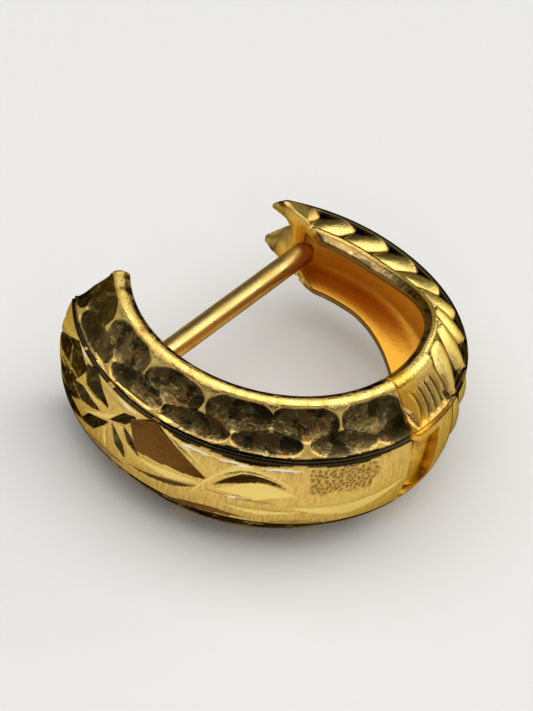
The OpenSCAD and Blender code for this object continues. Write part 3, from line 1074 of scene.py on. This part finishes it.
front_strokes = stroke_tree("front_strip_strokes", FRONT_STROKES)
print("front strip:", len(FRONT_STROKES), "strokes")

# %% [markdown]
# The scoops. Around each bevel of the front half run two staggered rows of oval scoops, each one
# touch of a round-nosed tool. They meet, so only thin points of land are left between them, and they
# grow darker towards both ends of the half, as in the photo. That is a repeat along a path, so the
# tree works out which scoop is nearest from the angle alone. Random numbers for each scoop, from its
# own count and a fixed seed, keep them from looking stamped.

# %% Sizes of the scoops
SCOOP_INPUTS = MESH | {
    "First Angle": 161.0, "Pitch": 22.5, "Long": 0.518,
    "Outer Row": 0.375, "Outer High": 0.352, "Inner Row": 0.765, "Inner High": 0.26,
    "Depth": 0.09, "Seed": 11,
}
SCOOP_ROWS = [("Outer Row", "Outer High", 0.0), ("Inner Row", "Inner High", 0.5)]
SQUARENESS = 2.25
WALL_SHARE, WALL_PART = 0.14, 0.45
LINE_SHARE, LINE_FADE = 0.14, 0.1
# The scoops are painted dark as the reflection of the dim room, each a little differently at random, and
# painted darker still towards both ends of the half.
DARKER_FROM, DARKER_BELOW, DARKER_OVER, DARKER_BY = 128.0, 62.0, 22.0, 0.13
# Lowest and highest random value, and what keeps one draw apart from the next.
DRIFT = (-0.045, 0.045, 0)
SIZE = (0.93, 1.05, 500)
LIFT = (-0.03, 0.03, 1000)
CELL_SHADE = (0.81, 0.91, 1500)
SKEW = (-0.12, 0.12, 2000)
# A scoop's name is a whole number: its count around the hoop, moved apart by its side and its row.
SIDE_NAMES, FIRST_NAME, ROW_NAMES = 40, 200, 200


def random_for(name, span, seed):
    """A random field that is the same wherever the whole number called name is the same."""
    low, high, draw = span
    made = name.tree.nodes.new("FunctionNodeRandomValue")
    made.data_type = "FLOAT"
    made.inputs[2].default_value = low
    made.inputs[3].default_value = high
    whole = name.tree.nodes.new("FunctionNodeFloatToInt")
    (name + draw).into(whole.inputs[0])
    name.tree.links.new(whole.outputs[0], made.inputs["ID"])
    seed.into(made.inputs["Seed"])
    return Field(name.tree, made.outputs[1])


# %% Rows of scoops
def scoop_tree():
    tree, given, leave = new_tree("bevel_scoops", SCOOP_INPUTS)
    around, side = read_field(tree, "around"), read_field(tree, "across").math("SIGN")
    bevel_share, on_bevel, outer = up_the_bevel(tree)
    near_ends = ((around - DARKER_FROM) / DARKER_OVER).clamped()
    near_ends = near_ends + ((DARKER_BELOW - around) / DARKER_OVER).clamped()
    deepest, cell_tone = None, None
    for row, high, shift in SCOOP_ROWS:
        steps = (given["First Angle"] - around) / given["Pitch"] - shift
        count = steps.math("ROUND")
        name = count + side * SIDE_NAMES + (FIRST_NAME + shift * ROW_NAMES)
        drift, size, lift, cell_shade, skew = (
            random_for(name, span, given["Seed"]) for span in (DRIFT, SIZE, LIFT, CELL_SHADE, SKEW)
        )
        cell_shade = (cell_shade + near_ends * DARKER_BY).less_of(BLACK)
        off = bevel_share - given[row] + lift
        aside = ((steps - count + drift + off * skew) / (given["Long"] * size)).math("ABSOLUTE")
        above = (off / (given[high] * size)).math("ABSOLUTE")
        left = 1 - aside.math("POWER", SQUARENESS) - above.math("POWER", SQUARENESS)
        bowl = (left / WALL_SHARE).clamped() * WALL_PART + left.more_of(0.0) * (1 - WALL_PART)
        if deepest is None:
            deepest, cell_tone = bowl, cell_shade
        else:
            cell_tone = cell_tone.towards(cell_shade, bowl.math("GREATER_THAN", deepest))
            deepest = deepest.more_of(bowl)
    deepest = deepest * (on_bevel * outer)
    inside = ((deepest - LINE_SHARE) / LINE_FADE).clamped()
    tone = read_field(tree, "tone").towards(cell_tone, inside)
    cut = read_field(tree, "cut").more_of(deepest * given["Depth"])
    return handed_on(tree, given, leave, tone, cut)


scoops = scoop_tree()

# %% [markdown]
# The punched ground. Right of the eyebrow-shaped cut the strip is dotted all over with a fine punch,
# which makes it matt. Voronoi cells, laid out on the unrolled strip, put one dot in each cell, and
# a soft window keeps them inside their patch. The window's edges waver, as a hand-worked edge does.

# %% Punched patch
PUNCH_INPUTS = MESH | {
    "From Around": 48.5, "To Around": 70.5, "From Across": 0.02, "To Across": 1.25,
    "Dots Per Millimetre": 7.6, "Depth": 0.04,
}
WAVER_SCALE, WAVER_DETAIL, WAVER_MIDDLE = 1600.0, 2.0, 0.5
FROM_WAVER, TO_WAVER, LOW_WAVER = 9.0, 5.0, 0.5
AROUND_FADE, LOW_FADE, HIGH_FADE = 2.0, 0.2, 0.1
DOT_SIZE = 0.55
# Each dot is painted darker, as shade in its pit.
DOT_SHADE, GROUND_SHADE = 0.5, 0.12


def punch_tree():
    tree, given, leave = new_tree("punched_ground", PUNCH_INPUTS)
    around, across = read_field(tree, "around"), read_field(tree, "across")
    waver = patches(tree, WAVER_SCALE, WAVER_DETAIL) - WAVER_MIDDLE
    inside = ((around - given["From Around"] + waver * FROM_WAVER) / AROUND_FADE).clamped()
    inside = inside * ((given["To Around"] - around + waver * TO_WAVER) / AROUND_FADE).clamped()
    inside = inside * ((across - given["From Across"] + waver * LOW_WAVER) / LOW_FADE).clamped()
    inside = inside * ((given["To Across"] - across) / HIGH_FADE).clamped()
    cells = tree.nodes.new("ShaderNodeTexVoronoi")
    cells.voronoi_dimensions = "2D"
    place = tree.nodes.new("ShaderNodeCombineXYZ")
    (around * MM_PER_DEG).into(place.inputs["X"])
    across.into(place.inputs["Y"])
    tree.links.new(place.outputs["Vector"], cells.inputs["Vector"])
    given["Dots Per Millimetre"].into(cells.inputs["Scale"])
    dot = (1 - Field(tree, cells.outputs["Distance"]) / DOT_SIZE).clamped()
    tone = read_field(tree, "tone").towards(dot * DOT_SHADE + GROUND_SHADE, inside)
    cut = read_field(tree, "cut").more_of(dot * inside * given["Depth"])
    return handed_on(tree, given, leave, tone, cut)


punched = punch_tree()

# %% [markdown]
# Petals. From just past the hinge to the catch the back half is a row of slanted petals, one after
# another, on the bevels and on the strip. A graver has taken the metal out between them, so each
# petal is crowned and polished, with a groove on either side. The crowns are painted bright as
# highlights and the grooves painted dark as shade. A crowned form always finds a light to show,
# which is what makes the row sparkle.

# %% Row of slanted petals
PETAL_INPUTS = MESH | {
    "First Angle": 9.2, "Pitch": 12.4, "Slant": 6.5, "Crown": 0.16, "Long Crown": 0.06,
    "Bright Share": 0.86, "Seed": 5,
}
PETALS_START = 15.6
PETALS_STOP = 3.0
PETAL_POINT = 0.3
PETAL_HALF = 0.52
PETAL_SIZE = (0.92, 1.04, 0)
PETAL_SIDE_NAMES = 30
GROOVE_FADE = 0.12


def petal_tree():
    tree, given, leave = new_tree("back_petals", PETAL_INPUTS)
    around, across = read_field(tree, "around"), read_field(tree, "across")
    bevel_share, on_bevel, outer = up_the_bevel(tree)
    strip_share = (across + STRIP_HALF) / (2 * STRIP_HALF)
    share = (bevel_share * on_bevel + strip_share * (1 - on_bevel)).clamped()
    leaned_angle = around - given["Slant"] * (share - 0.5) * (2 - on_bevel)
    steps = (leaned_angle - given["First Angle"]) / given["Pitch"]
    count = steps.math("ROUND")
    name = count + across.math("SIGN") * PETAL_SIDE_NAMES * on_bevel
    size = random_for(name, PETAL_SIZE, given["Seed"])
    pointed = (share * math.pi).math("SINE").more_of(TINY).math("POWER", PETAL_POINT)
    side = ((steps - count) / (pointed * PETAL_HALF * size)).math("ABSOLUTE").clamped()
    here = around.math("LESS_THAN", PETALS_START) * outer
    here = here * ((around - CATCH_AT - PETALS_STOP) / PETALS_STOP).clamped()
    ends = (share * 2 - 1).math("POWER", 2.0)
    depth = (side * side * given["Crown"] + ends * given["Long Crown"]) * here
    groove = ((side - given["Bright Share"]) / GROOVE_FADE).clamped()
    shade = groove * (BLACK - BRIGHT) + BRIGHT
    tone = read_field(tree, "tone").towards(shade, here * (1 - ends * ends * ends))
    return handed_on(tree, given, leave, tone, depth)


petals = petal_tree()

# %% [markdown]
# Next to the hinge the back half carries a few cuts of its own: a leaf beside the joint, painted
# bright as a highlight, a second one further on painted dark as shade, and on the bevel a row of
# nested bows, like ripples that spread from the joint. Rings about a centre follow a rule, so they
# get a tree: the distance from the centre goes through a cosine, which makes crowns and grooves in
# turn, the crowns painted bright as highlights and the grooves painted brown as shade. The centre
# lies at the joint, outside the row, so only bows are left.

# %% Strokes beside the hinge
HINGE_STROKES = [
    # around, across, around, across, half, widest, bow, lean, depth, tone
    (37.0, 2.62, 33.0, 1.60, 0.24, 0.42, 0.0, 0.45, 0.11, -1.15),
    (19.0, 2.20, 15.5, 1.62, 0.20, 0.60, 0.0, 0.3, 0.12, 0.9),
]
hinge_strokes = stroke_tree("hinge_strokes", HINGE_STROKES)

# %% Nested bows
BOW_INPUTS = MESH | {
    "Centre Around": 38.0, "Centre Across": 2.3, "Ring Width": 0.42,
    "First Ring": 1.9, "Last Ring": 6.0, "Half Length": 0.64, "Depth": 0.1, "Groove Tone": BROWN,
}
RING_SHARPNESS = 4.0
BOW_END = 0.12


def bow_tree():
    tree, given, leave = new_tree("nested_bows", BOW_INPUTS)
    x = (read_field(tree, "around") - given["Centre Around"]) * MM_PER_DEG
    y = read_field(tree, "across").math("ABSOLUTE") - given["Centre Across"]
    rings = (x * x + y * y).math("SQRT") / given["Ring Width"]
    groove = (1 - (rings * (2 * math.pi)).math("COSINE")) * 0.5
    inside = ((given["Last Ring"] - rings) * RING_SHARPNESS).clamped()
    inside = inside * ((rings - given["First Ring"]) * RING_SHARPNESS).clamped()
    inside = inside * ((given["Half Length"] - y.math("ABSOLUTE")) / BOW_END).clamped()
    shade = groove * (given["Groove Tone"] - BRIGHT) + BRIGHT
    tone = read_field(tree, "tone").towards(shade, inside)
    cut = read_field(tree, "cut").more_of(groove * inside * given["Depth"])
    return handed_on(tree, given, leave, tone, cut)


bows = bow_tree()

# %% [markdown]
# The rim. The flat rim's painted highlight and shade are made uneven: one more tree lets the tone
# there wander with a noise whose patches are about half a millimetre across.

# %% Patchy painted light on the rim
WEAR_SCALE, WEAR_DETAIL, WEAR_MIDDLE = 2400.0, 3.0, 0.42


def rim_tree():
    tree, given, leave = new_tree("patchy_rim_light", MESH | {"Unevenness": 1.0})
    reach = read_field(tree, "across").math("ABSOLUTE")
    on_rim = reach.math("GREATER_THAN", ON_RIM) * reach.math("LESS_THAN", NOWHERE / 2)
    wander = (patches(tree, WEAR_SCALE, WEAR_DETAIL) - WEAR_MIDDLE) * given["Unevenness"]
    before = read_field(tree, "tone")
    return handed_on(tree, given, leave, before.towards((before + wander).within(BRIGHT, BLACK), on_rim))


patchy_rim_light = rim_tree()

# %% [markdown]
# Sinking the cuts. The trees above only wrote two numbers at each point. This last one moves the
# points inward by the cut's depth, along the direction that the blank stored, and gives the material.
# A low wave goes in with the cuts, because no hand-worked surface is quite flat.

# %% Sink the cuts and set the gold
WAVES_SCALE, WAVES_DETAIL, WAVES_DEPTH = 1500.0, 1.0, 0.03


def sinking_tree(material):
    tree, given, leave = new_tree("sink_cuts", MESH | {"Millimetre": MM})
    waves = patches(tree, WAVES_SCALE, WAVES_DETAIL).clamped() * WAVES_DEPTH
    inward = (read_field(tree, "cut") + waves) * read_field(tree, "room") * given["Millimetre"] * -1.0
    scale = tree.nodes.new("ShaderNodeVectorMath")
    scale.operation = "SCALE"
    read_field(tree, "out", "FLOAT_VECTOR").into(scale.inputs["Vector"])
    inward.into(scale.inputs["Scale"])
    move = tree.nodes.new("GeometryNodeSetPosition")
    given["Geometry"].into(move.inputs["Geometry"])
    tree.links.new(scale.outputs["Vector"], move.inputs["Offset"])
    whole = tree.nodes.new("GeometryNodeRealizeInstances")
    tree.links.new(move.outputs["Geometry"], whole.inputs["Geometry"])
    paint = node(tree, "GeometryNodeSetMaterial", Material=material)
    tree.links.new(whole.outputs["Geometry"], paint.inputs["Geometry"])
    tree.links.new(paint.outputs["Geometry"], leave.inputs["Geometry"])
    return tree


sink = sinking_tree(ENGRAVED_GOLD_AND_PAINTED_LIGHT)

# %% [markdown]
# Using the trees. Each one goes on the blank as a modifier, with the rim's patchy painted light after
# the cuts and the sinking last. The result is made a plain mesh at once, so nothing is left to work
# out later. The painted light on the rims of the front half is patchier than on the back half.

# %% Cut both halves
# How patchy the painted highlight and shade on each half's rims are.
FRONT_RIM_PATCHINESS, BACK_RIM_PATCHINESS = 5.0, 0.8


def add_cutter(piece, tree, **values):
    """Puts a tree on a piece as a modifier, and sets the inputs that aren't the tree's own."""
    modifier = piece.modifiers.new(tree.name, "NODES")
    modifier.node_group = tree
    for item in tree.interface.items_tree:
        if item.item_type == "SOCKET" and item.in_out == "INPUT" and item.name in values:
            modifier[item.identifier] = values[item.name]


def engrave(piece, trees, rim_patchiness):
    for tree in trees:
        add_cutter(piece, tree)
    add_cutter(piece, patchy_rim_light, Unevenness=rim_patchiness)
    add_cutter(piece, sink)
    baked(piece)
    tones = np.zeros(len(piece.data.vertices), np.float32)
    piece.data.attributes["tone"].data.foreach_get("value", tones)
    triangles = sum(len(p.vertices) - 2 for p in piece.data.polygons)
    print(piece.name, triangles, "triangles, tone from", tones.min(), "to", tones.max())


engrave(front_gold, (scoops, front_strokes, punched), FRONT_RIM_PATCHINESS)
engrave(back_gold, (petals, hinge_strokes, bows), BACK_RIM_PATCHINESS)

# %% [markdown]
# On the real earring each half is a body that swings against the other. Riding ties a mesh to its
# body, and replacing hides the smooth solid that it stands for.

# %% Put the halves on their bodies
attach(front_gold, "front")
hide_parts("front_half")
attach(back_gold, "back")
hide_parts("back_half")

# %% [markdown]
# The ear post, the knuckle and the pin were only drawn or filed, so their gold has no cuts: two
# shades in soft patches, and a fine grain. The hinge's is deeper, because gold that faces gold across
# a narrow gap looks amber.

# %% Drawn wire gold
WIRE_GRAIN = 7000


def plain_gold(name, pale, deep, scale):
    made, tree, shader = new_gold(name)
    patchy = grain(tree, scale)
    ramp(patchy, [(0.35, pale), (0.65, deep)]).into(shader.inputs["Base Color"])
    ramp(patchy, [(0.3, 0.22), (0.7, 0.38)]).into(shader.inputs["Roughness"])
    bumped(grain(tree, WIRE_GRAIN), strength=0.15, distance=0.00003).into(shader.inputs["Normal"])
    return made


WIRE_GOLD = plain_gold("wire_gold", (0.92, 0.66, 0.24), (0.72, 0.45, 0.12), 900)
HINGE_GOLD = plain_gold("hinge_gold", (0.8, 0.46, 0.08), (0.32, 0.14, 0.02), 1500)

# %% [markdown]
# Turned pieces. The post is wire whose free end is filed to a blunt point. The knuckle is a short
# tube end, and the pin is wire with its corners taken off. All three are outlines for the lathe, and
# a small block of solder metal, the web, joins the knuckle to the front half.

# %% Ear post
TURNED_SIDES = 56
POST_TURN = math.radians(61.2)
POST_AXIS = Vector((math.cos(POST_TURN), math.sin(POST_TURN), 0))
POST_OFF_CENTRE = 2.216
POST_START = Vector((-POST_AXIS.y, POST_AXIS.x, 0)) * POST_OFF_CENTRE + Vector((0, 0, HALF_W))
POST_R = 0.4
POST_SOLDERED = -6.15
POST_NECK = 5.15
POST_RINGS = 24
POST_POINT = [(5.2, 0.36), (5.5, 0.165), (5.54, 0.125), (5.56, 0.08), (5.568, 0.03)]


def turned_piece(name, outline, start, direction, gold, sides=TURNED_SIDES):
    made = lathe(name, outline, start, direction.normalized(), sides)
    for face in made.data.polygons:
        face.use_smooth = True
    made.data.materials.append(gold)
    print(name, len(made.data.polygons), "faces")
    return made


post_wire = [(between(POST_SOLDERED, POST_NECK, k / POST_RINGS), POST_R) for k in range(POST_RINGS + 1)]
ear_post = turned_piece("ear_post", post_wire + POST_POINT, POST_START, POST_AXIS, WIRE_GOLD)

# %% Knuckle, pin and web
KNUCKLE_CORNER = [(0, 0.05), (0.015, 0.015), (0.05, 0)]
PIN_CORNER = [(0, 0.03), (0.03, 0)]
PIN_SIDES = 32
WEB_HALF_THICK = 0.42
WEB_FROM, WEB_TO = -1.04, -0.41
WEB_HALF_TALL = KNUCKLE_HALF - 0.06
WEB_EDGE = 0.07


def barrel(half, radius, corner):
    """Outline of a bar; corner holds how far in from the end and from the side each point is."""
    start = [(-half + along, radius - off) for along, off in corner]
    return start + [(-along, radius) for along, radius in reversed(start)]


knuckle_outline = barrel(KNUCKLE_HALF, KNUCKLE_R, KNUCKLE_CORNER)
knuckle = turned_piece("hinge_knuckle", knuckle_outline, PIN_PLACE, HOOP_AXIS, HINGE_GOLD)
pin_outline = barrel(PIN_HALF, PIN_RADIUS, PIN_CORNER)
pin = turned_piece("hinge_pin_gold", pin_outline, PIN_PLACE, HOOP_AXIS, HINGE_GOLD, PIN_SIDES)
web_low = (-WEB_HALF_THICK, WEB_FROM, -WEB_HALF_TALL)
web_high = (WEB_HALF_THICK, WEB_TO, WEB_HALF_TALL)
web = hinge_box("hinge_web", web_low, web_high, WEB_EDGE)
web.data.materials.append(HINGE_GOLD)
for piece in (ear_post, knuckle, web):
    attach(piece, "front")
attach(pin, "front")
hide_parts("hinge_pin")
